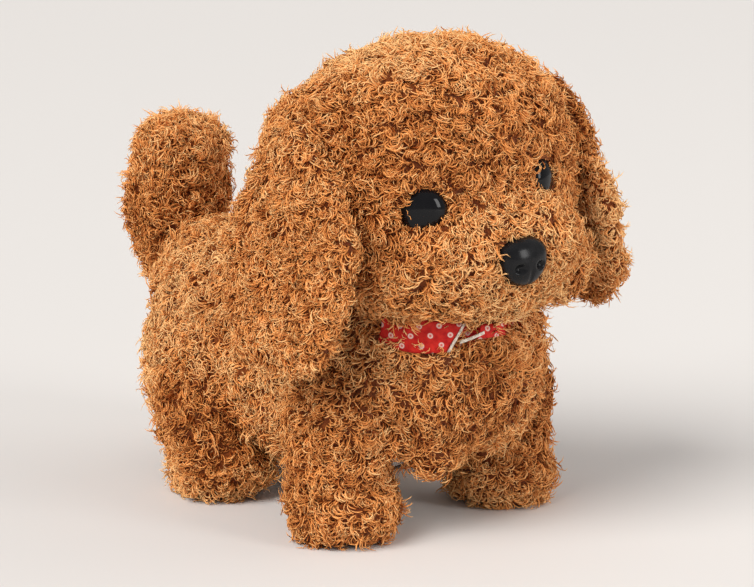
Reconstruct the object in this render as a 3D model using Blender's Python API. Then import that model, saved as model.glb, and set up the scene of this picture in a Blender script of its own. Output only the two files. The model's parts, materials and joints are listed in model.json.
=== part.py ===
"""Walking plush puppy: a geared plastic walking mechanism inside stuffed plush pieces.

Sizes and places are in millimetres and are scaled to metres when a mesh is made. The puppy
faces -Y, its right side is -X, and the origin is on the floor under the middle of the toy.
A moving piece hangs on an empty that stands on its joint's axis.
"""

from math import cos, pi, radians, sin

import bmesh
import bpy
from mathutils import Euler, Matrix, Vector

MM = 0.001
GAP = 0.3  # clearance between touching pieces
WAYS = {"right": -1, "left": 1}  # each side of the puppy and its sign along X
CENTRING = Vector((-1.05, 4.65, 0))  # brings the middle of the whole toy over the origin

# Legs
HIP_Z = 44
HIP_X = 38
HIP_Y = {"front": -60, "rear": 14}
LEG_R = 17.5
THIGH_R = 23
THIGH_HALF = 16
FOOT_TOP = 19
CORE_X = (28.9, 32.9)
HIP_PIN_R = 1.5
LINK_DROP = 12  # the link rod's pins sit this far below the hips
LINK_PIN_R = 1.3
LINK_SLACK = 0.5
YOKE_RISE = 12  # the crank turns this far above the front hip

# Chassis
CHASSIS_X = 26
CHASSIS_Y = (-75, 58)
CHASSIS_Z = (27, 80)
SPLIT_Z = 67
WALL = 2
FLOOR_TOP = 30.2
SCREW_SPOTS = {"front": -67, "rear": 51}
SCREW_X = 20

# Gear train, all on axes along X
MODULE = 0.7
CRANK_TEETH = 32
REDUCTION_SMALL_TEETH = 10
REDUCTION_LARGE_TEETH = 28
PINION_TEETH = 9
BACKLASH = 0.15
CRANK_R = 1.8
CRANK_THROW = 2.5
SMALL_PLANE = (8.5, 12.5)
LARGE_PLANE = (14, 17)
MESH_ANGLE_1 = radians(15)
MESH_ANGLE_2 = radians(-3)
CRANK_SPOT = (HIP_Y["front"], HIP_Z + YOKE_RISE)
MESH_1 = MODULE * (CRANK_TEETH + REDUCTION_SMALL_TEETH) / 2 + BACKLASH
MESH_2 = MODULE * (REDUCTION_LARGE_TEETH + PINION_TEETH) / 2 + BACKLASH
REDUCTION_SPOT = (
    CRANK_SPOT[0] + MESH_1 * cos(MESH_ANGLE_1),
    CRANK_SPOT[1] + MESH_1 * sin(MESH_ANGLE_1),
)
MOTOR_SPOT = (
    REDUCTION_SPOT[0] + MESH_2 * cos(MESH_ANGLE_2),
    REDUCTION_SPOT[1] + MESH_2 * sin(MESH_ANGLE_2),
)
AXLE_R = 1.2
COMPOUND_BORE = 1.5

# Battery bay
CELL_R = 7.1
CELL_X = 8
CELL_Z = 37.3
CELL_Y = (-19.5, 29.5)
DOOR_X = 17
DOOR_Y = (-31.5, 36)
DOOR_Z = (27, 28.6)
DOOR_SCREW_Y = -28
TAPPED_R = 1.2  # a hole that a small screw cuts its thread in, or passes through
SWITCH_Y = 47
SPEAKER_Y = 26
SOUND_HOLES = 6
SOUND_RING_R = 7

# Head, before it is set askew on its frame
NECK = Vector((0, -64, 90))
HEAD_ROLL = radians(-4)
HEAD_YAW = radians(-4)
SKULL = Vector((0, -66, 128.6))
SKULL_R = (54.5, 42, 49)
MUZZLE = Vector((0, -95, 106))
MUZZLE_R = (39.5, 23, 24)
EYE = Vector((26.7, -99.5, 125.5))
EYE_OUT = Vector((0.54, -0.84, -0.04)).normalized()
EYE_R = 8.5
NOSE = Vector((0, -117.5, 104.8))
EAR = Vector((63.6, -71, 115.8))
EAR_R = (6.6, 31, 46.5)
EAR_YAW = radians(12)
EAR_TILT = radians(10.5)
EAR_HINGE = Vector((56, -71, 153))

# Trunk and tail
TRUNK = Vector((0, -13.5, 60))
TRUNK_R = (48, 85.5, 42.5)
TRUNK_SQUARENESS = 0.65
TAIL_PIVOT = Vector((0, 64, 72))
TAIL_FOOT = Vector((0, 89, 68.8))
TAIL_R = 17.5
TAIL_LENGTH = 65
TAIL_LEAN = radians(9)

# Neckerchief
COLLAR_R = (37, 33)
COLLAR_Y = -66
COLLAR_FRONT_Z = 76
COLLAR_RISE = 0.15  # climb from throat to nape, per millimetre of length
COLLAR_HEIGHT = 8
COLLAR_THICK = 1.4

BODIES = {}


# ---------------------------------------------------------------- materials and placing


def finish(name, colour, roughness, metallic=0.0):
    """A plain Principled material."""
    material = bpy.data.materials.new(name)
    material.use_nodes = True
    shader = material.node_tree.nodes["Principled BSDF"]
    shader.inputs["Base Color"].default_value = (*colour, 1)
    shader.inputs["Roughness"].default_value = roughness
    shader.inputs["Metallic"].default_value = metallic
    return material


def body_empty(name, pivot, parent=None, turn=(0, 0, 0)):
    """An empty on a body's joint axis, which its pieces hang on."""
    empty = bpy.data.objects.new(name + "_axis", None)
    bpy.context.scene.collection.objects.link(empty)
    origin = Vector(pivot)
    if parent:
        empty.parent = BODIES[parent][0]
        origin -= BODIES[parent][1]
    else:
        origin += CENTRING
    empty.location = origin * MM
    empty.rotation_euler = turn
    BODIES[name] = (empty, Vector(pivot))


def place(name, bm, material, body):
    """Makes the object from a bmesh in toy coordinates and hangs it on its body's empty."""
    empty, pivot = BODIES[body]
    bmesh.ops.translate(bm, verts=bm.verts, vec=-pivot)
    bmesh.ops.scale(bm, verts=bm.verts, vec=(MM, MM, MM))
    bmesh.ops.recalc_face_normals(bm, faces=bm.faces)
    mesh = bpy.data.meshes.new(name)
    bm.to_mesh(mesh)
    bm.free()
    mesh.shade_smooth()
    mesh.set_sharp_from_angle(angle=radians(35))
    obj = bpy.data.objects.new(name, mesh)
    bpy.context.scene.collection.objects.link(obj)
    if material:
        mesh.materials.append(material)
    obj.parent = empty
    return obj


def combine(obj, bm, body, operation="DIFFERENCE"):
    """Cuts a shape from an object, or joins it on, with a hidden tool object."""
    tool = place(f"{obj.name}_tool_{len(obj.modifiers)}", bm, None, body)
    tool.hide_render = True
    tool.display_type = "WIRE"
    boolean = obj.modifiers.new(operation.title(), "BOOLEAN")
    boolean.operation = operation
    boolean.solver = "EXACT"
    boolean.object = tool


# ---------------------------------------------------------------- shapes, in toy coordinates


def box(low, high, bevel=0.0, segments=2):
    bm = bmesh.new()
    size = Vector(high) - Vector(low)
    bmesh.ops.create_cube(bm, size=1)
    bmesh.ops.scale(bm, verts=bm.verts, vec=size)
    bmesh.ops.translate(bm, verts=bm.verts, vec=(Vector(high) + Vector(low)) / 2)
    if bevel:
        bmesh.ops.bevel(
            bm, geom=bm.edges, offset=bevel, segments=segments, profile=0.5, affect="EDGES"
        )
    return bm


def prism(outline, low, high, axis="X"):
    """A flat outline pushed out along an axis. Its points are the other two coordinates in order."""
    bm = bmesh.new()
    spot = {"X": lambda a, b: (low, a, b), "Y": lambda a, b: (a, low, b), "Z": lambda a, b: (a, b, low)}
    face = bm.faces.new([bm.verts.new(spot[axis](a, b)) for a, b in outline])
    pushed = bmesh.ops.extrude_face_region(bm, geom=[face])["geom"]
    step = Vector((axis == "X", axis == "Y", axis == "Z")) * (high - low)
    bmesh.ops.translate(bm, verts=[g for g in pushed if isinstance(g, bmesh.types.BMVert)], vec=step)
    return bm


def arc(centre, radius, start, end, steps):
    """Points along a circle's arc, from one angle to another in degrees."""
    angles = [radians(start + (end - start) * i / steps) for i in range(steps + 1)]
    return [(centre[0] + radius * cos(a), centre[1] + radius * sin(a)) for a in angles]


def rod(centre, radius, low, high, axis="X", sides=16):
    """A round bar along an axis. The centre is the other two coordinates in order."""
    return prism(arc(centre, radius, 0, 360 * (sides - 1) / sides, sides - 1), low, high, axis)


def lathe(profile, foot, direction, sides=20):
    """A solid of revolution from (radius, height) points, standing on foot along a direction."""
    bm = bmesh.new()
    rings = []
    for radius, height in profile:
        turn = [2 * pi * i / sides for i in range(sides)] if radius else [0]
        rings.append([bm.verts.new((radius * cos(a), radius * sin(a), height)) for a in turn])
    for lower, upper in zip(rings, rings[1:]):
        for i in range(sides):
            corners = [lower[i % len(lower)], lower[(i + 1) % len(lower)]]
            corners += [upper[(i + 1) % len(upper)], upper[i % len(upper)]]
            bm.faces.new(list(dict.fromkeys(corners)))
    for ring in (rings[0], rings[-1]):
        if len(ring) > 1:
            bm.faces.new(ring)
    stand = Vector(direction).to_track_quat("Z", "Y").to_matrix().to_4x4()
    bmesh.ops.transform(bm, matrix=Matrix.Translation(foot) @ stand, verts=bm.verts)
    return bm


def ellipsoid(centre, radii, squareness=1.0, turn=(0, 0, 0), grow=0.0, sides=28):
    """A rounded solid: an ellipsoid, or boxier as squareness falls below 1."""
    bm = bmesh.new()
    bmesh.ops.create_uvsphere(bm, u_segments=sides, v_segments=sides // 2, radius=1)
    for vert in bm.verts:
        soft = [abs(c) ** squareness * (1 if c > 0 else -1) for c in vert.co]
        vert.co = [s * (r + grow) for s, r in zip(soft, radii)]
    bmesh.ops.transform(
        bm, matrix=Matrix.Translation(centre) @ Euler(turn).to_matrix().to_4x4(), verts=bm.verts
    )
    return bm


def gear(centre, teeth, phase, plane):
    """A spur gear's toothed disc with its axis along X. A tooth points at the phase angle."""
    pitch = 2 * pi / teeth
    root = MODULE * (teeth / 2 - 1.1)
    tip = MODULE * (teeth / 2 + 0.8)
    flank = [(-0.29, root), (-0.1, tip), (0.1, tip), (0.29, root)]
    outline = []
    for tooth in range(teeth):
        for side, radius in flank:
            angle = phase + (tooth + side) * pitch
            outline.append((centre[0] + radius * cos(angle), centre[1] + radius * sin(angle)))
    return prism(outline, *plane)


def side_span(way, low, high):
    """An X range on one side of the puppy, lower end first."""
    return (low, high) if way > 0 else (-high, -low)


# ---------------------------------------------------------------- chassis


def chassis(plastic, steel):
    """The lower tray and the upper cover, which four screws hold together."""
    y0, y1 = CHASSIS_Y
    lower = place(
        "lower_chassis", box((-CHASSIS_X, y0, CHASSIS_Z[0]), (CHASSIS_X, y1, SPLIT_Z)), plastic, "body"
    )
    inner = CHASSIS_X - WALL
    combine(lower, box((-inner, y0 + WALL, FLOOR_TOP), (inner, y1 - WALL, SPLIT_Z + 5)), "body")
    upper = place(
        "upper_chassis",
        box((-CHASSIS_X, y0, SPLIT_Z + GAP), (CHASSIS_X, y1, CHASSIS_Z[1])),
        plastic,
        "body",
    )
    roof = CHASSIS_Z[1] - WALL
    combine(upper, box((-inner, y0 + WALL, SPLIT_Z - 5), (inner, y1 - WALL, roof)), "body")
    for end, y in SCREW_SPOTS.items():
        for side, way in WAYS.items():
            spot = (way * SCREW_X, y)
            combine(lower, rod(spot, 3, FLOOR_TOP - 1, SPLIT_Z - GAP, "Z", 12), "body", "UNION")
            combine(lower, rod(spot, 1.4, SPLIT_Z - 14, SPLIT_Z + 1, "Z", 10), "body")
            combine(upper, rod(spot, 1.5, roof - 1, CHASSIS_Z[1] + 1, "Z", 10), "body")
            top = CHASSIS_Z[1] + GAP
            shank = [(1.0, SPLIT_Z - 12), (1.0, top), (2.4, top), (2.4, top + 1.2), (1.2, top + 1.6)]
            screw = lathe(shank, (*spot, 0), (0, 0, 1), 8)
            place(f"{end}_{side}_chassis_screw", screw, steel, "body")
    # The battery door's recess, its window, and the boss for its screw
    reach = 0.5
    combine(
        lower,
        box((-DOOR_X - reach, DOOR_Y[0] - reach, 20), (DOOR_X + reach, DOOR_Y[1] + reach, DOOR_Z[1] + 0.2)),
        "body",
    )
    combine(lower, rod((0, DOOR_SCREW_Y), 3.4, FLOOR_TOP - 1, 36, "Z", 12), "body", "UNION")
    combine(lower, rod((0, DOOR_SCREW_Y), TAPPED_R, 20, 34.5, "Z", 10), "body")
    combine(lower, box((-15.5, CELL_Y[0] - 3, 20), (15.5, CELL_Y[1] + 4, 35)), "body")
    combine(lower, box((-4.5, SWITCH_Y - 1.8, 20), (4.5, SWITCH_Y + 1.8, 35)), "body")
    # Shaft holes through both side walls
    wide = CHASSIS_X + 5
    for y in HIP_Y.values():
        combine(lower, rod((y, HIP_Z), HIP_PIN_R + GAP, -wide, wide, "X", 14), "body")
    combine(lower, rod(CRANK_SPOT, CRANK_R + 0.4, -wide, wide, "X", 14), "body")
    combine(lower, rod(REDUCTION_SPOT, AXLE_R + GAP, 20, wide, "X", 12), "body")
    # A ring of sound holes over the speaker
    for hole in range(SOUND_HOLES):
        angle = 2 * pi * hole / SOUND_HOLES
        spot = (SOUND_RING_R * cos(angle), SPEAKER_Y + SOUND_RING_R * sin(angle))
        combine(upper, rod(spot, 1.8, roof - 1, CHASSIS_Z[1] + 1, "Z", 8), "body")


def battery_bay(plastic, steel, brass, label):
    """The tray with two cells and their contacts, under a hinged door held by one screw."""
    y0, y1 = CELL_Y
    tray = place("battery_tray", box((-17, y0 - 4.5, 30.5), (17, y1 + 6, 46.2)), plastic, "body")
    combine(tray, box((-15.5, y0 - 3, 25), (15.5, y1 + 4.5, 44.8)), "body")
    for side, way in WAYS.items():
        profile = [(CELL_R, 0), (CELL_R, y1 - y0), (2.7, y1 - y0), (2.7, y1 - y0 + 1.2)]
        foot = (way * CELL_X, y0 if way > 0 else y1, CELL_Z)
        place(f"{side}_battery_cell", lathe(profile, foot, (0, way, 0)), label, "body")
    place("battery_bridge_contact", box((-13, y1 + 3.2, 32), (13, y1 + 4, 43)), brass, "body")
    place("battery_plate_contact", box((-12, y0 - 2.6, 32), (-4, y0 - 1.9, 43)), brass, "body")
    spring = [(5, 0), (5, 0.8), (2.5, 2), (2.5, 2.3)]
    place("battery_spring_contact", lathe(spring, (CELL_X, y0 - 2.7, CELL_Z), (0, 1, 0), 16), steel, "body")

    body_empty("battery_door", (0, DOOR_Y[1], DOOR_Z[0]))
    door = place(
        "battery_door", box((-DOOR_X, DOOR_Y[0], DOOR_Z[0]), (DOOR_X, DOOR_Y[1], DOOR_Z[1])), plastic,
        "battery_door",
    )
    combine(door, rod((0, DOOR_SCREW_Y), TAPPED_R, 20, 35, "Z", 10), "battery_door")
    head = DOOR_Z[0] - GAP
    shank = [(1.1, head - 1.4), (2.2, head - 1.1), (2.2, head), (0.85, head), (0.85, 33.5)]
    screw = lathe(shank, (0, DOOR_SCREW_Y, 0), (0, 0, 1), 8)
    place("battery_door_screw", screw, steel, "battery_door")


def power_switch(black):
    """The slide switch on the belly, which shows behind the battery door."""
    case = box((-6, SWITCH_Y - 4, FLOOR_TOP + GAP), (6, SWITCH_Y + 4, 36))
    place("power_switch_case", case, black, "body")
    body_empty("power_switch", (-2, SWITCH_Y, 27))
    knob = box((-3.6, SWITCH_Y - 1.4, 25), (-0.4, SWITCH_Y + 1.4, FLOOR_TOP), 0.3, 1)
    place("power_switch_knob", knob, black, "power_switch")


def sound_unit(board_green, paper):
    """The sound board behind the battery tray and the speaker under the roof."""
    board = place("sound_board", box((-16, 48, 36.5), (16, 49.6, 62)), board_green, "body")
    chip = lathe([(5, -0.5), (5, 0.6), (4, 1.3)], (0, 48, 50), (0, -1, 0), 14)
    combine(board, chip, "body", "UNION")
    outline = [(6, 0), (6, 3), (14, 4.5), (14, 7.5), (13, 7.5), (12, 6.6), (4, 5)]
    place("speaker", lathe(outline, (0, SPEAKER_Y, 69.8), (0, 0, 1), 20), paper, "body")


# ---------------------------------------------------------------- gear train


def gear_train(steel, white, plastic):
    """Motor, pinion, compound gear and the crankshaft that turns a crank at each front hip."""
    flat = 7.7
    round_can = arc((0, 0), 10, 0, 345, 23)
    outline = [(MOTOR_SPOT[0] + y, MOTOR_SPOT[1] + max(-flat, min(flat, z))) for y, z in round_can]
    place("motor_can", prism(outline, -20, 5), steel, "body")
    plate = place("gearbox_plate", box((5.4, -70, FLOOR_TOP + GAP), (7, -24, 66.5)), plastic, "body")
    for spot, radius in ((CRANK_SPOT, CRANK_R + 0.4), (REDUCTION_SPOT, COMPOUND_BORE), (MOTOR_SPOT, 1.2)):
        combine(plate, rod(spot, radius, 0, 10, "X", 12), "body")
    place("reduction_axle", rod(REDUCTION_SPOT, AXLE_R, 4, CHASSIS_X - GAP, "X", 12), steel, "body")

    first = MESH_ANGLE_1
    body_empty("crankshaft", (0, *CRANK_SPOT))
    end = CHASSIS_X + 2.3
    place("crank_axle", rod(CRANK_SPOT, CRANK_R, -end, end, "X", 16), steel, "crankshaft")
    wheel = place("crank_gear", gear(CRANK_SPOT, CRANK_TEETH, first, SMALL_PLANE), white, "crankshaft")
    combine(wheel, rod(CRANK_SPOT, CRANK_R + GAP, 0, 20, "X", 16), "crankshaft")
    for side, way in WAYS.items():
        low, high = side_span(way, CHASSIS_X + 0.6, CHASSIS_X + 2.2)
        disc = place(f"{side}_crank_disc", rod(CRANK_SPOT, 4.6, low, high, "X", 20), white, "crankshaft")
        low, high = side_span(way, CHASSIS_X + 1, CHASSIS_X + 6)
        pin = (CRANK_SPOT[0] + way * CRANK_THROW, CRANK_SPOT[1])
        combine(disc, rod(pin, 1, low, high, "X", 10), "crankshaft", "UNION")
        combine(disc, rod(CRANK_SPOT, CRANK_R + GAP, -40, 40, "X", 16), "crankshaft")

    half_gap = pi / REDUCTION_SMALL_TEETH
    body_empty("reduction_gear", (0, *REDUCTION_SPOT))
    small = gear(REDUCTION_SPOT, REDUCTION_SMALL_TEETH, first + pi + half_gap, (8, 14.5))
    compound = place("reduction_gear", small, white, "reduction_gear")
    large = gear(REDUCTION_SPOT, REDUCTION_LARGE_TEETH, MESH_ANGLE_2, LARGE_PLANE)
    combine(compound, large, "reduction_gear", "UNION")
    combine(compound, rod(REDUCTION_SPOT, COMPOUND_BORE, 0, 25, "X", 12), "reduction_gear")

    half_gap = pi / PINION_TEETH
    body_empty("motor_rotor", (0, *MOTOR_SPOT))
    teeth = gear(MOTOR_SPOT, PINION_TEETH, MESH_ANGLE_2 + pi + half_gap, (13.5, 17.5))
    pinion = place("motor_pinion", teeth, white, "motor_rotor")
    combine(pinion, rod(MOTOR_SPOT, 0.8, 5.3, 18.5, "X", 10), "motor_rotor", "UNION")


def link_rods(plastic):
    """A flat rod on each side that ties the front leg to the rear leg, below the hips."""
    z = HIP_Z - LINK_DROP
    front, rear = HIP_Y["front"], HIP_Y["rear"]
    outline = arc((front, z), 3.2, 90, 270, 8) + arc((rear, z), 3.2, -90, 90, 8)
    for side, way in WAYS.items():
        body = f"{side}_link"
        body_empty(body, (way * CHASSIS_X, front, z))
        low, high = side_span(way, CHASSIS_X + 0.7, CHASSIS_X + 2.3)
        bar = place(f"{side}_link_rod", prism(outline, low, high), plastic, body)
        for y in (front, rear):
            low, high = side_span(way, CHASSIS_X - 2, CHASSIS_X + 5)
            combine(bar, rod((y, z), LINK_PIN_R + LINK_SLACK, low, high, "X", 12), body)


# ---------------------------------------------------------------- legs


def leg_core_parts(way, end, grow):
    """The shapes that make up a leg's plastic core, or its slightly larger hollow."""
    y = HIP_Y[end]
    low, high = side_span(way, CORE_X[0] - grow, CORE_X[1] + grow)
    parts = [rod((y, HIP_Z), 7 + grow, low, high, "X", 20)]
    parts.append(box((low, y - 5 - grow, 4), (high, y + 5 + grow, HIP_Z)))
    low, high = side_span(way, CORE_X[0] - grow, 48 + grow)
    parts.append(box((low, y - 12 - grow, 2.5 - grow), (high, y + 12 + grow, 5.5 + grow)))
    if end == "front":
        low, high = side_span(way, CORE_X[0] - grow, CORE_X[1] + grow)
        z = HIP_Z + YOKE_RISE
        parts.append(box((low, y - 8.2 - grow, z - 6), (high, y + 8.2 + grow, z + 5.8 + grow)))
    return parts


def leg(end, side, plush, plastic, steel):
    """A leg that swings about its hip pin: a plastic core inside a stuffed plush sleeve."""
    way = WAYS[side]
    y = HIP_Y[end]
    body = f"{end}_{side}_leg"
    profile = [(3, 0), (3, 1.5), (HIP_PIN_R, 1.5), (HIP_PIN_R, 12)]
    pin = lathe(profile, (way * (CHASSIS_X - 3.9), y, HIP_Z), (way, 0, 0), 10)
    place(f"{end}_{side}_hip_pin", pin, steel, "body")

    body_empty(body, (way * HIP_X, y, HIP_Z))
    first, *rest = leg_core_parts(way, end, 0)
    core = place(f"{body}_core", first, plastic, body)
    for part in rest:
        combine(core, part, body, "UNION")
    low, high = side_span(way, CHASSIS_X + 0.9, CORE_X[0] + 1)
    combine(core, rod((y, HIP_Z - LINK_DROP), LINK_PIN_R, low, high, "X", 10), body, "UNION")
    low, high = side_span(way, 20, 40)
    combine(core, rod((y, HIP_Z), HIP_PIN_R + GAP, low, high, "X", 14), body)
    if end == "front":
        z = HIP_Z + YOKE_RISE
        combine(core, box((low, y - 6.3, z - 4), (high, y + 6.3, z + 4)), body)

    sleeve = place(f"{body}_plush", rod((way * HIP_X, y), LEG_R, 0, HIP_Z, "Z", 24), plush, body)
    thigh = ellipsoid((way * HIP_X, y, HIP_Z), (THIGH_HALF, THIGH_R, THIGH_R), sides=20)
    combine(sleeve, thigh, body, "UNION")
    low, high = side_span(way, 0, CORE_X[0] + 0.1)
    combine(sleeve, box((low, y - 40, FOOT_TOP), (high, y + 40, 80)), body)
    for part in leg_core_parts(way, end, 0.5):
        combine(sleeve, part, body)
    low, high = side_span(way, 25, 34.8)
    combine(sleeve, rod((y, HIP_Z), 3, low, high, "X", 12), body)


# ---------------------------------------------------------------- head


def head(plush, plastic, steel, black):
    """The head nods on the neck post. Its plush, eyes, nose and ears sit a little askew."""
    x, y, z = NECK
    post = place("neck_post", box((-12, y - 12, CHASSIS_Z[1] + GAP), (12, y + 12, 82.4)), plastic, "body")
    combine(post, box((-4, y - 5, 82), (4, y + 5, z + 4)), "body", "UNION")
    combine(post, rod((y, z), HIP_PIN_R + GAP, -10, 10, "X", 14), "body")

    body_empty("head", NECK)
    body_empty("askew_head", NECK, "head", (0, HEAD_ROLL, HEAD_YAW))
    place("neck_pin", rod((y, z), HIP_PIN_R, -11, 11, "X", 14), steel, "head")
    frame = place("head_frame", box((-8, y - 5, z - 5), (8, y + 5, z + 11)), plastic, "head")
    combine(frame, box((-4.6, y - 9, z - 9), (4.6, y + 9, z + 7)), "head")
    combine(frame, rod((y, z), HIP_PIN_R + GAP, -20, 20, "X", 14), "head")
    combine(frame, box((-4, y - 4, z + 9), (4, y + 4, z + 58)), "head", "UNION")
    combine(frame, rod((0, y), 20, z + 52, z + 55, "Z", 24), "head", "UNION")

    skin = place("head_plush", ellipsoid(SKULL, SKULL_R, sides=24), plush, "askew_head")
    combine(skin, ellipsoid(MUZZLE, MUZZLE_R, sides=18), "askew_head", "UNION")
    combine(skin, box((-40, y - 18, 60), (40, 0, z - 2)), "head")
    combine(skin, box((-13, y - 10, 70), (13, y + 10, z + 12)), "head")
    combine(skin, box((-4.8, y - 4.8, z + 8), (4.8, y + 4.8, z + 59)), "head")
    combine(skin, rod((0, y), 20.6, z + 51.4, z + 55.6, "Z", 24), "head")

    for side, way in WAYS.items():
        eye = Vector((way * EYE.x, EYE.y, EYE.z))
        out = Vector((way * EYE_OUT.x, EYE_OUT.y, EYE_OUT.z))
        button_in_head(f"{side}_eye", skin, eye - out * 3, out, EYE_R, black, steel)
    button_in_head("nose", skin, NOSE, Vector((0, -1, 0)), EYE_R, black, steel)


def button_in_head(name, skin, foot, out, radius, black, steel):
    """A domed button on a stem, with the washer that locks it behind the fabric."""
    dome = [(radius * sin(a), radius * 0.82 * cos(a)) for a in (0, 0.35, 0.7, 1.05, 1.35, pi / 2)]
    profile = [*dome, (radius, -1), (2, -1), (2, -13)]
    place(name, lathe(profile, foot, out, 16), black, "askew_head")
    washer = place(name + "_washer", lathe([(6, 0), (6, -1.6)], foot - out * 6, out, 12), steel, "askew_head")
    combine(washer, lathe([(2.3, 3), (2.3, -5)], foot - out * 6, out, 10), "askew_head")
    hollow = [(radius + 0.4, 16), (radius + 0.4, -1.3), (2.4, -1.3), (2.4, -5.6)]
    hollow += [(6.4, -5.6), (6.4, -8), (2.4, -8), (2.4, -13.5)]
    combine(skin, lathe(hollow, foot, out, 14), "askew_head")


def ears(plush):
    """Two long flaps that hang from the sides of the head and lift outwards."""
    for side, way in WAYS.items():
        hinge = Vector((way * EAR_HINGE.x, EAR_HINGE.y, EAR_HINGE.z))
        body = f"{side}_ear"
        body_empty(body, hinge, "askew_head")
        centre = (way * EAR.x, EAR.y, EAR.z)
        turn = (0, -way * EAR_TILT, -way * EAR_YAW)
        place(f"{side}_ear_plush", ellipsoid(centre, EAR_R, 0.8, turn, sides=18), plush, body)


# ---------------------------------------------------------------- trunk, tail and neckerchief


def trunk(plush):
    """The stuffed body cover: a hollow for the chassis, pockets for the legs, a belly window."""
    skin = place("body_plush", ellipsoid(TRUNK, TRUNK_R, TRUNK_SQUARENESS, sides=28), plush, "body")
    y0, y1 = CHASSIS_Y
    room = 3
    combine(skin, box((-29, y0 - room, CHASSIS_Z[0] - 2.5), (29, y1 + room, CHASSIS_Z[1] + room)), "body")
    for y in HIP_Y.values():
        outline = arc((y, HIP_Z), THIGH_R + 2, 0, 180, 14) + [(y - 28, HIP_Z - 8), (y - 28, -5)]
        outline += [(y + 28, -5), (y + 28, HIP_Z - 8)]
        for way in WAYS.values():
            low, high = side_span(way, 19, 70)
            combine(skin, prism(outline, low, high), "body")
    combine(skin, box((-27, -79, -5), (27, 52, 40)), "body")
    combine(skin, ellipsoid(SKULL, SKULL_R, grow=6, sides=24), "askew_head")
    combine(skin, ellipsoid(MUZZLE, MUZZLE_R, grow=5, sides=18), "askew_head")
    combine(skin, box((-10, 50, 63), (10, 90, 81)), "body")
    combine(skin, collar_ring(0.8), "body")


def collar_ring(grow=0.0):
    """The neckerchief's band: a strip round the neck, higher at the nape than at the throat."""
    bm = bmesh.new()
    steps = 32
    half = COLLAR_HEIGHT / 2 + grow
    section = [(-grow, -half), (COLLAR_THICK + grow, -half), (COLLAR_THICK + grow, half), (-grow, half)]
    rings = []
    for i in range(steps):
        a = 2 * pi * i / steps
        ring = []
        for out, up in section:
            x = (COLLAR_R[0] + out) * cos(a)
            y = (COLLAR_R[1] + out) * sin(a)
            z = COLLAR_FRONT_Z + COLLAR_RISE * (y + COLLAR_R[1]) + up
            ring.append(bm.verts.new((x, COLLAR_Y + y, z)))
        rings.append(ring)
    for i, ring in enumerate(rings):
        following = rings[(i + 1) % steps]
        for j in range(4):
            k = (j + 1) % 4
            bm.faces.new((ring[j], ring[k], following[k], following[j]))
    return bm


def neckerchief(red):
    """The band and its two short ends, which cross under the chin."""
    place("neckerchief_band", collar_ring(), red, "body")
    y = COLLAR_Y - COLLAR_R[1] - COLLAR_THICK - 1.2
    right = [(-31, 82), (-16, 81), (-10, 78), (-18, 71), (-29, 71)]
    left = [(-7, 79.5), (4, 79.5), (3, 75), (-7, 74)]
    for side, outline in (("right", right), ("left", left)):
        place(f"neckerchief_{side}_end", prism(outline, y - 1.4, y, "Y"), red, "body")


def tail(plush, plastic):
    """The tail wags about an upright pin behind the chassis."""
    y, z = TAIL_PIVOT.y, TAIL_PIVOT.z
    bracket = place("tail_bracket", box((-6, 58.4, z - 8), (6, 69, z - 5.5)), plastic, "body")
    combine(bracket, box((-6, 58.4, z - 8), (6, 60.4, z + 6)), "body", "UNION")
    combine(bracket, rod((0, y), 1.5, z - 6, z + 5, "Z", 12), "body", "UNION")

    body_empty("tail", TAIL_PIVOT)
    hub = place("tail_lever", rod((0, y), 3.5, z - 5, z + 3, "Z", 16), plastic, "tail")
    lean = Vector((0, sin(TAIL_LEAN), cos(TAIL_LEAN)))
    combine(hub, box((-2.5, y + 1, z - 3), (2.5, TAIL_FOOT.y + 3, z + 2)), "tail", "UNION")
    stem = lathe([(2.5, 0), (2.5, 46)], TAIL_FOOT + Vector((0, 0, 1)), lean, 12)
    combine(hub, stem, "tail", "UNION")
    combine(hub, rod((0, y), 1.5 + GAP, z - 12, z + 12, "Z", 12), "tail")

    r = TAIL_R
    profile = [(r - 5, 0), (r - 1.5, 1.5), (r, 5), (r, TAIL_LENGTH - 9), (r - 2, TAIL_LENGTH - 3)]
    profile += [(r - 7, TAIL_LENGTH)]
    skin = place("tail_plush", lathe(profile, TAIL_FOOT - Vector((0, 0, 3)), lean, 24), plush, "tail")
    combine(skin, box((-3, y, z - 3.5), (3, TAIL_FOOT.y + 3.5, z + 2.5)), "tail")
    combine(skin, lathe([(3.3, -2), (3.3, 46.6)], TAIL_FOOT + Vector((0, 0, 1)), lean, 12), "tail")


def main():
    for obj in list(bpy.data.objects):
        bpy.data.objects.remove(obj)
    plush = finish("curly_plush", (0.52, 0.23, 0.08), 0.95)
    red = finish("red_cotton", (0.6, 0.03, 0.03), 0.8)
    black = finish("black_gloss", (0.01, 0.01, 0.012), 0.12)
    plastic = finish("grey_abs", (0.55, 0.55, 0.53), 0.5)
    white = finish("white_acetal", (0.85, 0.85, 0.82), 0.45)
    steel = finish("steel", (0.6, 0.6, 0.62), 0.35, 1.0)
    brass = finish("plated_brass", (0.75, 0.65, 0.4), 0.35, 1.0)
    board_green = finish("board_green", (0.03, 0.2, 0.08), 0.5)
    label = finish("cell_jacket", (0.1, 0.1, 0.14), 0.35)
    dark = finish("black_plastic", (0.03, 0.03, 0.03), 0.5)
    paper = finish("speaker_black", (0.05, 0.05, 0.05), 0.9)

    body_empty("body", (0, 0, 0))
    chassis(plastic, steel)
    battery_bay(plastic, steel, brass, label)
    power_switch(dark)
    sound_unit(board_green, paper)
    gear_train(steel, white, plastic)
    link_rods(white)
    for end in HIP_Y:
        for side in WAYS:
            leg(end, side, plush, plastic, steel)
    head(plush, plastic, steel, black)
    ears(plush)
    trunk(plush)
    neckerchief(red)
    tail(plush, plastic)


main()
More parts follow.
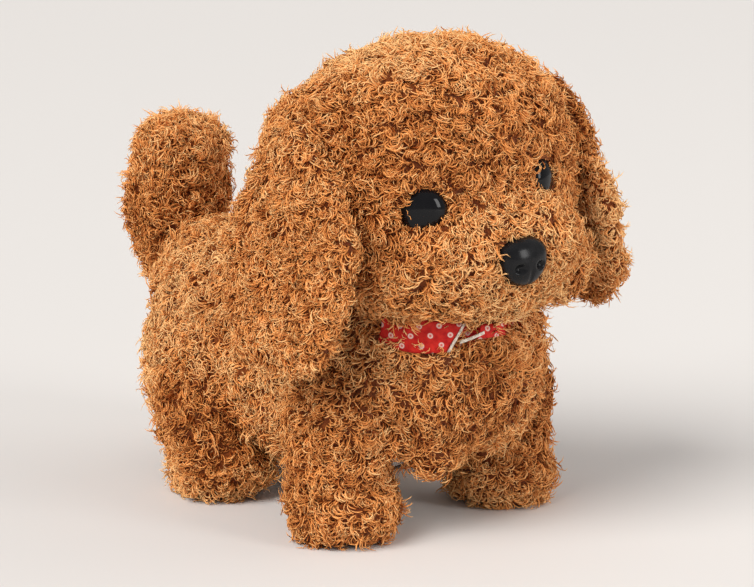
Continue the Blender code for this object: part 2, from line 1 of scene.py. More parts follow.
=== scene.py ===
"""Looks of the walking plush puppy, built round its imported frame.

Each stuffed part is a padded skin with its own curly pile, made of thousands of fine closed
strands that grow in tufts. The eyes, the nose and the neckerchief are modelled in full, and the
mechanism inside gets its moulded, turned and stamped finishes. All lengths are in metres.
"""

import json
from math import cos, pi, radians, sin, tau

import bmesh
import bpy
import numpy as np
from mathutils import Euler, Matrix, Vector
from mathutils.kdtree import KDTree


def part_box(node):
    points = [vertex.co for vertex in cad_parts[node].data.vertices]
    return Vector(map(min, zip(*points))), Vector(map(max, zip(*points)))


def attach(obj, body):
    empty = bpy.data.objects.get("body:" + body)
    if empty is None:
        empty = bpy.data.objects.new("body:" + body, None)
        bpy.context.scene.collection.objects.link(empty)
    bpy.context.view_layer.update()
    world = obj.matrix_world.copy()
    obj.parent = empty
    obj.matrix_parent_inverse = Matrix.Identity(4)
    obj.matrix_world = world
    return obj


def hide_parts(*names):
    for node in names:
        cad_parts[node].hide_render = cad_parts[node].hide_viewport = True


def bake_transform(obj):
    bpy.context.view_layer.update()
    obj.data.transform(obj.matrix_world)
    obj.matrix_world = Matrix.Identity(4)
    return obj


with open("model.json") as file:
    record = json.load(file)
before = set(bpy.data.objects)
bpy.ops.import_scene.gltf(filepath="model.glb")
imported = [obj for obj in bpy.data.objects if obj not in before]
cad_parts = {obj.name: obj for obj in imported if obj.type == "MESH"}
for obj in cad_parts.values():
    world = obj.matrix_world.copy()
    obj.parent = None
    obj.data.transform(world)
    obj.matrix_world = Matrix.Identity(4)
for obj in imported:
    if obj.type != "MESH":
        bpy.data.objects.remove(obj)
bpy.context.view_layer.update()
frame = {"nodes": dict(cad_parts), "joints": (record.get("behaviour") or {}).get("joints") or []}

MM = 0.001
SIDES = {"right": -1, "left": 1}  # each side of the puppy and its sign along X
ENDS = ("front", "rear")

# Camera
VIEW_AZIMUTH = radians(-39.38)
VIEW_ELEVATION = radians(12.07)
VIEW_DISTANCE = 1.0
VIEW_TARGET = Vector((-1.05, -29.55, 79.85)) * MM
LENS = 128.76
SENSOR = 36

# Floor and light
FLOOR_HALF = 6  # how far the floor goes each way
FLOOR_COLOUR = (0.71, 0.685, 0.668)
FLOOR_ROUGHNESS = 0.7
WORLD_COLOUR = (1.0, 0.99, 0.98)
WORLD_STRENGTH = 0.41
OVERHEAD = {
    "place": (-0.99, -0.14, 1.0), "tint": (1.0, 0.985, 0.96), "energy": 3.1, "angle": radians(38),
}
BOUNCE = {
    "place": (1.0, -0.4, 0.55), "tint": (1.0, 0.95, 0.88), "energy": 0.78, "angle": radians(60),
}
WINDOW = {
    "place": (0.64, -2.13, 0.88), "tint": (1.0, 0.99, 0.97), "energy": 18.6,
    "shape": "RECTANGLE", "size": 0.68, "size_y": 1.2,
}

# Pile
SKIN_INSET = 1.4 * MM  # the skin lies this far inside the frame's soft solids
STRAND_R = 0.25 * MM
STRAND_LENGTH = 7.2 * MM
TUFT_STRANDS = 6
GATHER = 0.29  # how far the strands of a tuft draw in to its centre
ROOT_DEPTH = 0.6 * MM  # how deep a strand starts in its skin
UPRIGHT = (radians(14), radians(16))  # a strand's tilt at its root, as a mean and a spread
LAID = (radians(92), radians(24))  # its tilt where it lies over
LAID_AT = 0.55  # of its length
TIP_DIP = radians(50)  # how much more it tilts for each whole length past DIP_FROM
DIP_FROM = 0.6
COIL = (radians(180), radians(60))  # how far it turns on its way to the tip
COIL_FROM = 0.15
LENGTH_SPREAD = 0.2
THICKNESS_SPREAD = 0.18
PILE_DARK = (0.27, 0.06, 0.010)
PILE_MID = (0.86, 0.352, 0.098)
PILE_PALE = (0.97, 0.585, 0.255)
TONES = 8  # shades of fibre, evenly from dark through mid to pale
MEAN_TONE = 3.4
TAPER = (0.8, 1.0, 1.0, 0.92, 0.75, 0.0)  # a strand's thickness from its root to its tip
ROUND = 3  # sides of a strand
ROOT_SHADE_TIP_HIGHLIGHT = (-2, -1, 0, 1, 2)  # tones added to the strand's own from root to tip: darker roots as painted shade, paler tips as a painted highlight
PANEL_STRANDS = 7000  # the most strands in one sewn panel
FLOOR_CLEARANCE = 0.4 * MM  # no skin or strand goes lower
VOXEL = 2.2 * MM
SOFTENING = 6  # rounds of smoothing that a skin gets
LUMPS = 0.5 * MM  # how high a skin's lumps stand, and how wide they are
LUMP_SIZE = 20 * MM
FACE_PAINTED_LIGHT = 2.1  # tones of painted light by which the crown and the muzzle are paler than the ears and the tail
# painted light on the trunk's pile: tones paler on the flanks, which face the side light, and a
# little all over
FLANK_PAINTED_LIGHT = 1.3
TRUNK_PAINTED_LIGHT = 0.5
# painted shade darkens the pile of the front legs, which stand in shadow, and painted light makes
# the rear legs' pile paler
LEG_PAINTED_LIGHT_AND_SHADE = {"front": -0.5, "rear": 0.3}
SNOUT_REACH = 37 * MM  # how far from the nose the painted light on the pile goes
CROWN = (65 * MM, 85 * MM)  # heights over the neck between which the painted light on the pile grows
FLANK = (18 * MM, 40 * MM)  # distances out from the middle between which the painted light grows
FLANK_FRONT = (-50 * MM, 0)  # places along Y between which the painted light grows towards the rear

# Head, about the neck joint and before it is set askew
HEAD_TURN = Euler((0, radians(-4), radians(-4))).to_matrix()
SKULL = Vector((0, -2, 38.6)) * MM
SKULL_R = Vector((54.5, 42, 49)) * MM
SKULL_SQUARENESS = 0.86
EAR_ROOT = Vector((36, 5.5, 52)) * MM
EAR_ROOT_R = 24 * MM
MUZZLE = Vector((0, -31, 16)) * MM
MUZZLE_R = Vector((40, 23.5, 24)) * MM
MUZZLE_SQUARENESS = 0.92
CHEEK = Vector((30, -22, 11.5)) * MM
CHEEK_R = Vector((16, 17, 14.5)) * MM
LEFT_CHEEK_SHIFT = Vector((4, -2, -6)) * MM
EYE = Vector((26.7, -35.5, 35.5)) * MM
LEFT_EYE_SHIFT = Vector((-4.4, 0.5, 2.9)) * MM  # the left eye is sewn a little higher
EYE_OUT = Vector((0.54, -0.84, -0.04)).normalized()
EYE_R = 9.0 * MM
EYE_DOME = 5.6 * MM
EYE_RIM = 0.7 * MM
EYE_BACK = 1.3 * MM
EYE_PROUD = 0.4 * MM
BUTTON_BARE = 0.8  # no pile grows within this share of an eye's radius from an eye or the nose
BUTTON_RING = (0.9, 1.4)  # between these shares it goes from short to full length
BUTTON_SHORT = 0.6
NOSE = Vector((0, -53.5, 14.8)) * MM
NOSE_R = Vector((10.2, 6.6, 8.6)) * MM
NOSE_SHIFT = Vector((1.7, 0, 0.4)) * MM
NOSTRIL = (4.3 * MM, -1.2 * MM)  # across and up from the nose's middle
NOSTRIL_R = (2.7 * MM, 2.1 * MM)
NOSTRIL_DEPTH = 1.9 * MM
CLEFT_HALF = 0.8 * MM
CLEFT_DEPTH = 0.55 * MM

EAR_R = Vector((6.6, 31, 46.5)) * MM
EAR_YAW = radians(12)
EAR_TILT = radians(10.5)
EAR_SQUARENESS = 0.8
EAR_INSET = Vector((2.0, 1.6, 1.6)) * MM
EAR_TAPER = (0.05, 1.15)  # it narrows between these, where the lobe is at -1 and the top at 1
EAR_TOP_WIDTH = 0.2  # of the width at its lobe
EAR_TUCK = {"right": 0.3 * MM, "left": 1.2 * MM}  # how far each lies in towards the head
EAR_PILE = 6.4 * MM

TRUNK_SQUARENESS = 0.65
RUMP = Vector((-1, 34, 45)) * MM
RUMP_R = Vector((46.5, 48.2, 35)) * MM
RUMP_SQUARENESS = 0.9
HAUNCH = Vector((0, 8.6, -14)) * MM  # from a rear hip
HAUNCH_R = Vector((17, 20, 24)) * MM
PAW = Vector((0, -1.5, 12)) * MM  # under the hip, from the floor
PAW_R = Vector((19, 20, 12.3)) * MM
OPENING = (-10 * MM, 40 * MM)  # the bottom and top of the cut under the belly, for the case
OPENING_GAP = 1.2 * MM
BELLY_LIP = Vector((-15.5, -78, 31.5)) * MM  # the full spot by the front right leg
BELLY_LIP_R = Vector((8, 6.5, 7)) * MM
BELLY_LIP_SQUARENESS = 0.85
BELLY = (22 * MM, 36 * MM)  # heights between which the pile goes from longer to its usual length
BELLY_FRINGE = 0.8  # how much longer the pile is along the belly
BIB_FRINGE = 0.9  # how much longer it is beside the neckerchief's left end
BIB_ANGLE = radians(7)
BIB_HEIGHT = 71 * MM
BIB_REACH = 20 * MM
THIGH_R = Vector((16, 23, 23)) * MM
LEG_R = 17.5 * MM
LEG_INSET = 0.6 * MM
SOLE = -0.75  # skin whose normal points down more than this is the bare sole
TAIL_LEAN = radians(2.5)
TAIL_SHIFT = -3.6 * MM
TAIL_RISE = 54 * MM
TAIL_BEND = 0.45  # how far up it bows most
TAIL_BOW = 6.5 * MM
TAIL_TOP_BOW = 0.25  # the share of the bow that is left at the top
TAIL_GIRTH = (0.76, 1.18, 1.02)  # at the foot, the bend and the top, of the frame's own
TAIL_DOME = 10 * MM
TAIL_ROOT = Vector((0, -1, 2)) * MM  # from where the tail's cover starts, at the pivot's height
TAIL_ROOT_R = Vector((14.5, 15, 16)) * MM
TAIL_ROOT_SQUARENESS = 0.85

# Neckerchief: it lies on an oval round the neck, by angle from the front and by height
NECK_OVAL = Vector((-1.05, -61.35, 0)) * MM
BAND_R = Vector((35.6, 32.4)) * MM
END_R = Vector((40.4, 37.4)) * MM
BAND_RISE = 0.15  # how steeply the cloth climbs to the nape
TRIM_OUT = 1.012  # how far the edging and the lining lie out over the ends
CLOTH_THICK = 0.5 * MM
DOT_PITCH = 4.9 * MM

JOINTS = {joint["name"]: joint for joint in frame["joints"]}
NECK = Vector(JOINTS["head_nod"]["pos_m"])


def middle(node):
    low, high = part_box(node)
    return (low + high) / 2


def in_head(point):
    """A point given about the neck joint, moved to where the askew head has it."""
    return NECK + HEAD_TURN @ point


def mirrored(point, way):
    return Vector((way * point.x, point.y, point.z))


def eye_spot(side):
    return mirrored(EYE, SIDES[side]) + (LEFT_EYE_SHIFT if side == "left" else Vector())


def cheek_spot(side):
    return mirrored(CHEEK, SIDES[side]) + (LEFT_CHEEK_SHIFT if side == "left" else Vector())


def smoothstep(low, high, value):
    t = np.clip((value - low) / (high - low), 0, 1)
    return t * t * (3 - 2 * t)


# ---------------------------------------------------------------- camera, floor and light


def aim(obj, target):
    obj.rotation_euler = (target - obj.location).to_track_quat("-Z", "Y").to_euler()


def camera():
    data = bpy.data.cameras.new("camera")
    data.lens = LENS
    data.sensor_width = SENSOR
    data.clip_start = 0.01
    obj = bpy.data.objects.new("camera", data)
    bpy.context.scene.collection.objects.link(obj)
    flat = cos(VIEW_ELEVATION)
    back = Vector((sin(VIEW_AZIMUTH) * flat, -cos(VIEW_AZIMUTH) * flat, sin(VIEW_ELEVATION)))
    obj.location = VIEW_TARGET + back * VIEW_DISTANCE
    aim(obj, VIEW_TARGET)
    bpy.context.scene.camera = obj


def light(name, kind, place, tint, energy, **values):
    data = bpy.data.lights.new(name, kind)
    data.energy = energy
    data.color = tint
    for key, value in values.items():
        setattr(data, key, value)
    obj = bpy.data.objects.new(name, data)
    bpy.context.scene.collection.objects.link(obj)
    obj.location = place
    aim(obj, VIEW_TARGET)
    return obj


def studio():
    """A pale floor that the puppy stands on, under soft light from above, a window and a bounce."""
    bm = bmesh.new()
    bmesh.ops.create_grid(bm, x_segments=1, y_segments=1, size=FLOOR_HALF)
    mesh = bpy.data.meshes.new("floor")
    bm.to_mesh(mesh)
    bm.free()
    floor = new_object("floor", mesh)
    mesh.materials.append(plain_material("floor", FLOOR_COLOUR, FLOOR_ROUGHNESS))

    world = bpy.data.worlds.new("studio")
    world.use_nodes = True
    background = world.node_tree.nodes["Background"]
    background.inputs["Color"].default_value = (*WORLD_COLOUR, 1)
    background.inputs["Strength"].default_value = WORLD_STRENGTH
    bpy.context.scene.world = world
    bpy.context.scene.view_settings.view_transform = "Standard"
    light("overhead", "SUN", **OVERHEAD).visible_glossy = False
    light("bounce", "SUN", **BOUNCE).visible_glossy = False
    light("window", "AREA", **WINDOW).visible_camera = False


# ---------------------------------------------------------------- materials


def plain_material(name, colour, roughness, **values):
    material = bpy.data.materials.new(name)
    material.use_nodes = True
    shader = material.node_tree.nodes["Principled BSDF"]
    shader.inputs["Base Color"].default_value = (*colour, 1)
    shader.inputs["Roughness"].default_value = roughness
    for socket, value in values.items():
        shader.inputs[socket.replace("_", " ")].default_value = value
    return material


def ramp_node(nodes, stops):
    """A colour ramp through (position, colour) stops."""
    node = nodes.new("ShaderNodeValToRGB")
    elements = node.color_ramp.elements
    while len(elements) < len(stops):
        elements.new(1.0)
    for element, (position, colour) in zip(elements, stops):
        element.position = position
        element.color = (*colour, 1)
    return node


def add_relief(material, height, strength, distance):
    """Sends a height socket through a bump into the shader, on top of any relief there is."""
    nodes, links = material.node_tree.nodes, material.node_tree.links
    normal = nodes["Principled BSDF"].inputs["Normal"]
    relief = nodes.new("ShaderNodeBump")
    relief.inputs["Strength"].default_value = strength
    relief.inputs["Distance"].default_value = distance
    if normal.links:
        links.new(normal.links[0].from_socket, relief.inputs["Normal"])
    links.new(height, relief.inputs["Height"])
    links.new(relief.outputs["Normal"], normal)


def node_material(name, colours, roughness, scale, bump=0.0, detail=6, stretch=(1, 1, 1), **values):
    """A material whose colour and roughness run over noise, with relief from finer noise."""
    material = plain_material(name, colours[0], roughness[0], **values)
    nodes, links = material.node_tree.nodes, material.node_tree.links
    shader = nodes["Principled BSDF"]
    place = nodes.new("ShaderNodeTexCoord")
    mapping = nodes.new("ShaderNodeMapping")
    mapping.inputs["Scale"].default_value = stretch
    links.new(place.outputs["Object"], mapping.inputs["Vector"])
    broad = nodes.new("ShaderNodeTexNoise")
    broad.inputs["Scale"].default_value = scale
    broad.inputs["Detail"].default_value = detail
    links.new(mapping.outputs["Vector"], broad.inputs["Vector"])
    ramp = ramp_node(nodes, [(0.35, colours[0]), (0.65, colours[1])])
    links.new(broad.outputs["Fac"], ramp.inputs["Fac"])
    links.new(ramp.outputs["Color"], shader.inputs["Base Color"])
    spread = nodes.new("ShaderNodeMapRange")
    spread.inputs["To Min"].default_value = roughness[0]
    spread.inputs["To Max"].default_value = roughness[1]
    links.new(broad.outputs["Fac"], spread.inputs["Value"])
    links.new(spread.outputs["Result"], shader.inputs["Roughness"])
    if bump:
        fine = nodes.new("ShaderNodeTexNoise")
        fine.inputs["Scale"].default_value = scale * 4
        fine.inputs["Detail"].default_value = 3
        links.new(mapping.outputs["Vector"], fine.inputs["Vector"])
        add_relief(material, fine.outputs["Fac"], bump, 0.3 * MM)
    return material


def cell_material():
    """A dry cell's printed jacket: dark, with a copper-coloured shoulder at its button end."""
    low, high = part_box("left_battery_cell")
    material = node_material(
        "cell_jacket", ((0.02, 0.025, 0.04), (0.03, 0.035, 0.055)), (0.28, 0.4), 90
    )
    nodes, links = material.node_tree.nodes, material.node_tree.links
    place = nodes.new("ShaderNodeTexCoord")
    split = nodes.new("ShaderNodeSeparateXYZ")
    links.new(place.outputs["Object"], split.inputs["Vector"])
    along = nodes.new("ShaderNodeMapRange")
    along.inputs["From Min"].default_value = low.y
    along.inputs["From Max"].default_value = high.y
    links.new(split.outputs["Y"], along.inputs["Value"])
    copper, dark, steel = (0.62, 0.27, 0.11), (0.025, 0.03, 0.045), (0.55, 0.55, 0.57)
    ramp = ramp_node(
        nodes, [(0.0, steel), (0.06, steel), (0.07, dark), (0.68, dark), (0.69, copper)]
    )
    links.new(along.outputs["Result"], ramp.inputs["Fac"])
    links.new(ramp.outputs["Color"], nodes["Principled BSDF"].inputs["Base Color"])
    return material


def board_material():
    """A circuit board: green lacquer over the paler lines of its tracks."""
    material = node_material(
        "board_green", ((0.015, 0.12, 0.05), (0.03, 0.18, 0.08)), (0.3, 0.42), 200
    )
    nodes, links = material.node_tree.nodes, material.node_tree.links
    place = nodes.new("ShaderNodeTexCoord")
    turn = nodes.new("ShaderNodeMapping")
    turn.inputs["Rotation"].default_value = (radians(90), 0, 0)
    links.new(place.outputs["Object"], turn.inputs["Vector"])
    tracks = nodes.new("ShaderNodeTexBrick")
    tracks.inputs["Scale"].default_value = 120
    tracks.inputs["Mortar Size"].default_value = 0.02
    for socket, colour in (
        ("Color1", (0.015, 0.13, 0.055)),
        ("Color2", (0.02, 0.16, 0.07)),
        ("Mortar", (0.09, 0.33, 0.14)),
    ):
        tracks.inputs[socket].default_value = (*colour, 1)
    links.new(turn.outputs["Vector"], tracks.inputs["Vector"])
    links.new(tracks.outputs["Color"], nodes["Principled BSDF"].inputs["Base Color"])
    add_relief(material, tracks.outputs["Fac"], 0.3, 0.1 * MM)
    return material


def cloth_material(name, red, dot, core):
    """Fine printed cotton. Its dots and its weave lie in the cloth's own flat measure."""
    material = plain_material(name, red[0], 0.7, Specular_IOR_Level=0.25)
    nodes, links = material.node_tree.nodes, material.node_tree.links
    shader = nodes["Principled BSDF"]
    flat = nodes.new("ShaderNodeAttribute")
    flat.attribute_name = "flat"
    turned = nodes.new("ShaderNodeMapping")
    turned.inputs["Rotation"].default_value = (0, 0, radians(38))
    links.new(flat.outputs["Vector"], turned.inputs["Vector"])
    lattice = nodes.new("ShaderNodeTexVoronoi")
    lattice.voronoi_dimensions = "2D"
    lattice.inputs["Randomness"].default_value = 0
    lattice.inputs["Scale"].default_value = 1 / DOT_PITCH
    links.new(turned.outputs["Vector"], lattice.inputs["Vector"])
    ring = ramp_node(nodes, [(0.06, core), (0.12, dot), (0.18, dot), (0.23, (0, 0, 0))])
    links.new(lattice.outputs["Distance"], ring.inputs["Fac"])
    inside = ramp_node(nodes, [(0.18, (1, 1, 1)), (0.23, (0, 0, 0))])
    links.new(lattice.outputs["Distance"], inside.inputs["Fac"])
    worn = nodes.new("ShaderNodeTexNoise")
    worn.inputs["Scale"].default_value = 400
    links.new(flat.outputs["Vector"], worn.inputs["Vector"])
    dye = ramp_node(nodes, [(0.35, red[0]), (0.65, red[1])])
    links.new(worn.outputs["Fac"], dye.inputs["Fac"])
    mix = nodes.new("ShaderNodeMix")
    mix.data_type = "RGBA"
    links.new(inside.outputs["Color"], mix.inputs["Factor"])
    links.new(dye.outputs["Color"], mix.inputs["A"])
    links.new(ring.outputs["Color"], mix.inputs["B"])
    links.new(mix.outputs["Result"], shader.inputs["Base Color"])
    for way in ("X", "Y"):
        thread = nodes.new("ShaderNodeTexWave")
        thread.bands_direction = way
        thread.inputs["Scale"].default_value = 1 / (0.42 * MM) / tau * 2
        links.new(flat.outputs["Vector"], thread.inputs["Vector"])
        add_relief(material, thread.outputs["Fac"], 0.35, 0.12 * MM)
    return material


def pile_tones():
    """The dyed fibres' tones, deep brown to pale, which also paint shade at the roots and a
    highlight at the tips.
    """
    tones = []
    for i in range(TONES):
        share = 2 * i / (TONES - 1)
        if share < 1:
            low, high = PILE_DARK, PILE_MID
        else:
            low, high, share = PILE_MID, PILE_PALE, share - 1
        colour = [a + (b - a) * share for a, b in zip(low, high)]
        tones.append(plain_material(f"pile_tone_{i}", colour, 0.6, Specular_IOR_Level=0.2))
    return tones


def finishes():
    """A finish for each material slot of the frame's own solids."""
    metal = {"Metallic": 1.0}
    return {
        "grey_abs": node_material(
            "grey_abs", ((0.50, 0.50, 0.48), (0.57, 0.57, 0.55)), (0.4, 0.55), 160, bump=0.12
        ),
        "white_acetal": node_material(
            "white_acetal", ((0.80, 0.80, 0.76), (0.87, 0.87, 0.84)), (0.32, 0.46), 220, bump=0.06
        ),
        "steel": node_material(
            "steel", ((0.50, 0.50, 0.52), (0.68, 0.68, 0.70)), (0.24, 0.42), 260, bump=0.08,
            stretch=(1, 6, 1), **metal,
        ),
        "plated_brass": node_material(
            "plated_brass", ((0.66, 0.53, 0.30), (0.80, 0.70, 0.44)), (0.25, 0.4), 240, bump=0.08,
            **metal,
        ),
        "board_green": board_material(),
        "speaker_black": node_material(
            "speaker_black", ((0.03, 0.03, 0.03), (0.06, 0.058, 0.055)), (0.8, 0.95), 500, bump=0.4
        ),
        "black_plastic": node_material(
            "black_plastic", ((0.018, 0.018, 0.02), (0.03, 0.03, 0.032)), (0.4, 0.55), 300,
            bump=0.15,
        ),
        "cell_jacket": cell_material(),
    }


# ---------------------------------------------------------------- mesh helpers


def new_object(name, mesh):
    obj = bpy.data.objects.new(name, mesh)
    bpy.context.scene.collection.objects.link(obj)
    return obj


def mesh_object(name, bm):
    bmesh.ops.recalc_face_normals(bm, faces=bm.faces)
    mesh = bpy.data.meshes.new(name)
    bm.to_mesh(mesh)
    bm.free()
    return new_object(name, mesh)


def applied(obj):
    """Replaces an object's mesh with what its modifiers make of it."""
    graph = bpy.context.evaluated_depsgraph_get()
    mesh = bpy.data.meshes.new_from_object(obj.evaluated_get(graph))
    obj.modifiers.clear()
    obj.data = mesh
    mesh.shade_smooth()
    return obj


def add_ellipsoid(bm, centre, radii, squareness=1.0, turn=None, taper=None, sides=48):
    """Adds an ellipsoid, which grows boxier as squareness falls below 1. taper(height) from -1 to
    1 gives the width there."""
    made = bmesh.ops.create_uvsphere(bm, u_segments=sides, v_segments=sides // 2, radius=1)["verts"]
    turn = turn or Matrix.Identity(3)
    for vert in made:
        soft = [abs(c) ** squareness * (1 if c > 0 else -1) for c in vert.co]
        local = Vector([s * r for s, r in zip(soft, radii)])
        if taper:
            local.y *= taper(soft[2])
        vert.co = centre + turn @ local


def add_box(bm, low, high):
    made = bmesh.ops.create_cube(bm, size=1)["verts"]
    size, centre = Vector(high) - Vector(low), (Vector(high) + Vector(low)) / 2
    for vert in made:
        vert.co = centre + Vector([c * s for c, s in zip(vert.co, size)])


def add_rod(bm, foot, top, radii, sides=40):
    """Adds a straight round post between two points, with a radius at each end."""
    axis = top - foot
    stand = axis.to_track_quat("Z", "Y").to_matrix().to_4x4()
    where = Matrix.Translation((foot + top) / 2) @ stand
    bmesh.ops.create_cone(
        bm, cap_ends=True, segments=sides, radius1=radii[0], radius2=radii[1],
        depth=axis.length, matrix=where,
    )


def add_lathe(bm, profile, centre, out, sides=72):
    """Adds a turned form along out, from (radius, height) pairs that start and end on the axis."""
    stand = out.to_track_quat("Z", "Y").to_matrix()
    rings = []
    for radius, height in profile:
        turns = 1 if radius == 0 else sides
        rings.append([
            bm.verts.new(centre + stand @ Vector(
                (radius * cos(tau * i / sides), radius * sin(tau * i / sides), height)
            ))
            for i in range(turns)
        ])
    for a, b in zip(rings, rings[1:]):
        for i in range(sides):
            j = (i + 1) % sides
            corners = [a[i % len(a)], a[j % len(a)], b[j % len(b)], b[i % len(b)]]
            bm.faces.new(list(dict.fromkeys(corners)))


def shape(name, add, *parts):
    """A helper object made of one or more added shapes."""
    bm = bmesh.new()
    for part in parts:
        add(bm, *part)
    return mesh_object(name, bm)


# ---------------------------------------------------------------- soft skins


def soft_skin(name, form, seed, cutters=()):
    """Turns a rough form into one even, closed, slightly lumpy skin, less what the cutters take."""
    first = form.modifiers.new("join", "REMESH")
    first.mode = "VOXEL"
    first.voxel_size = VOXEL
    for cutter in cutters:
        cut = form.modifiers.new("cut", "BOOLEAN")
        cut.operation = "DIFFERENCE"
        cut.solver = "EXACT"
        cut.object = cutter
    second = form.modifiers.new("even", "REMESH")
    second.mode = "VOXEL"
    second.voxel_size = VOXEL
    smooth = form.modifiers.new("soften", "SMOOTH")
    smooth.factor = 0.5
    smooth.iterations = SOFTENING
    graph = bpy.context.evaluated_depsgraph_get()
    mesh = bpy.data.meshes.new_from_object(form.evaluated_get(graph))
    mesh.name = name
    mesh.materials.clear()
    mesh.shade_smooth()
    for helper in (form, *cutters):
        bpy.data.objects.remove(helper)
    count = len(mesh.vertices)
    points, normals = np.empty(count * 3), np.empty(count * 3)
    mesh.vertices.foreach_get("co", points)
    mesh.vertices.foreach_get("normal", normals)
    points, normals = points.reshape(-1, 3), normals.reshape(-1, 3)
    rise = swirl(points, np.random.default_rng(seed), LUMP_SIZE)[:, :1] * LUMPS
    points += normals * rise
    points[:, 2] = np.maximum(points[:, 2], FLOOR_CLEARANCE)
    mesh.vertices.foreach_set("co", points.reshape(-1))
    mesh.update()
    return new_object(name, mesh)


# ---------------------------------------------------------------- pile


def corners_of(mesh):
    """Triangle corner points and corner normals, as (faces, 3, 3) arrays."""
    mesh.calc_loop_triangles()
    points = np.empty(len(mesh.vertices) * 3)
    mesh.vertices.foreach_get("co", points)
    normals = np.empty(len(mesh.vertices) * 3)
    mesh.vertices.foreach_get("normal", normals)
    index = np.empty(len(mesh.loop_triangles) * 3, int)
    mesh.loop_triangles.foreach_get("vertices", index)
    index = index.reshape(-1, 3)
    return points.reshape(-1, 3)[index], normals.reshape(-1, 3)[index]


def unit(vectors):
    return vectors / np.maximum(np.linalg.norm(vectors, axis=-1, keepdims=True), 1e-12)


def scatter(mesh, count, rng):
    """Points spread evenly over a mesh, with their smooth normals."""
    points, normals = corners_of(mesh)
    edges = points[:, 1] - points[:, 0], points[:, 2] - points[:, 0]
    area = np.linalg.norm(np.cross(*edges), axis=1)
    face = rng.choice(len(area), count, p=area / area.sum())
    a, b = np.sqrt(rng.random(count)), rng.random(count)
    share = np.stack([1 - a, a * (1 - b), a * b], axis=1)[:, :, None]
    return (points[face] * share).sum(1), unit((normals[face] * share).sum(1))


def swirl(points, rng, wavelength, waves=5):
    """A smooth random vector at each point."""
    total = np.zeros_like(points)
    for _ in range(waves):
        direction = unit(rng.normal(size=3))
        push = rng.normal(size=3)
        phase = rng.random() * tau
        size = wavelength * rng.uniform(0.7, 1.4)
        total += np.sin(points @ direction * (tau / size) + phase)[:, None] * push
    return total


def nearest(points, centres):
    tree = KDTree(len(centres))
    for i, centre in enumerate(centres):
        tree.insert(centre, i)
    tree.balance()
    return np.array([tree.find(point)[1] for point in points])


def strand_mesh(name, lines, across, radii, tones):
    """Closed three-sided strands along lines of points. The last point of each is its tip."""
    count, steps, _ = lines.shape
    along = np.empty_like(lines)
    along[:, 1:-1] = lines[:, 2:] - lines[:, :-2]
    along[:, 0] = lines[:, 1] - lines[:, 0]
    along[:, -1] = lines[:, -1] - lines[:, -2]
    along = unit(along)
    u = unit(np.cross(across[:, None, :] + 0.01, along))
    v = np.cross(along, u)
    turn = np.arange(ROUND) * tau / ROUND
    ring = (
        lines[:, :-1, None, :]
        + radii[:, :-1, None, None]
        * (np.cos(turn)[:, None] * u[:, :-1, None, :] + np.sin(turn)[:, None] * v[:, :-1, None, :])
    )
    points = np.concatenate([ring.reshape(count, -1, 3), lines[:, -1:]], axis=1)
    own = points.shape[1]

    faces, level = [[0, 2, 1]], [0]
    for r in range(steps - 2):
        for s in range(ROUND):
            a, b = r * ROUND + s, r * ROUND + (s + 1) % ROUND
            faces += [[a, b, b + ROUND], [a, b + ROUND, a + ROUND]]
            level += [r, r]
    last = (steps - 2) * ROUND
    for s in range(ROUND):
        faces.append([last + s, last + (s + 1) % ROUND, own - 1])
        level.append(steps - 2)
    index = (np.arange(count)[:, None, None] * own + np.array(faces)[None]).reshape(-1)
    # Painted shade at the roots and a painted highlight at the tips of every strand
    shade = np.array(ROOT_SHADE_TIP_HIGHLIGHT)[np.array(level)]
    slots = np.clip(tones[:, None] + shade[None], 0, TONES - 1).reshape(-1)

    mesh = bpy.data.meshes.new(name)
    mesh.vertices.add(count * own)
    mesh.vertices.foreach_set("co", points.reshape(-1).astype(np.float32))
    mesh.loops.add(len(index))
    mesh.loops.foreach_set("vertex_index", index.astype(np.int32))
    mesh.polygons.add(len(index) // 3)
    mesh.polygons.foreach_set("loop_start", np.arange(0, len(index), 3, dtype=np.int32))
    mesh.polygons.foreach_set("material_index", slots.astype(np.int32))
    mesh.update(calc_edges=True)
    mesh.shade_smooth()
    for tone in PILE:
        mesh.materials.append(tone)
    return mesh


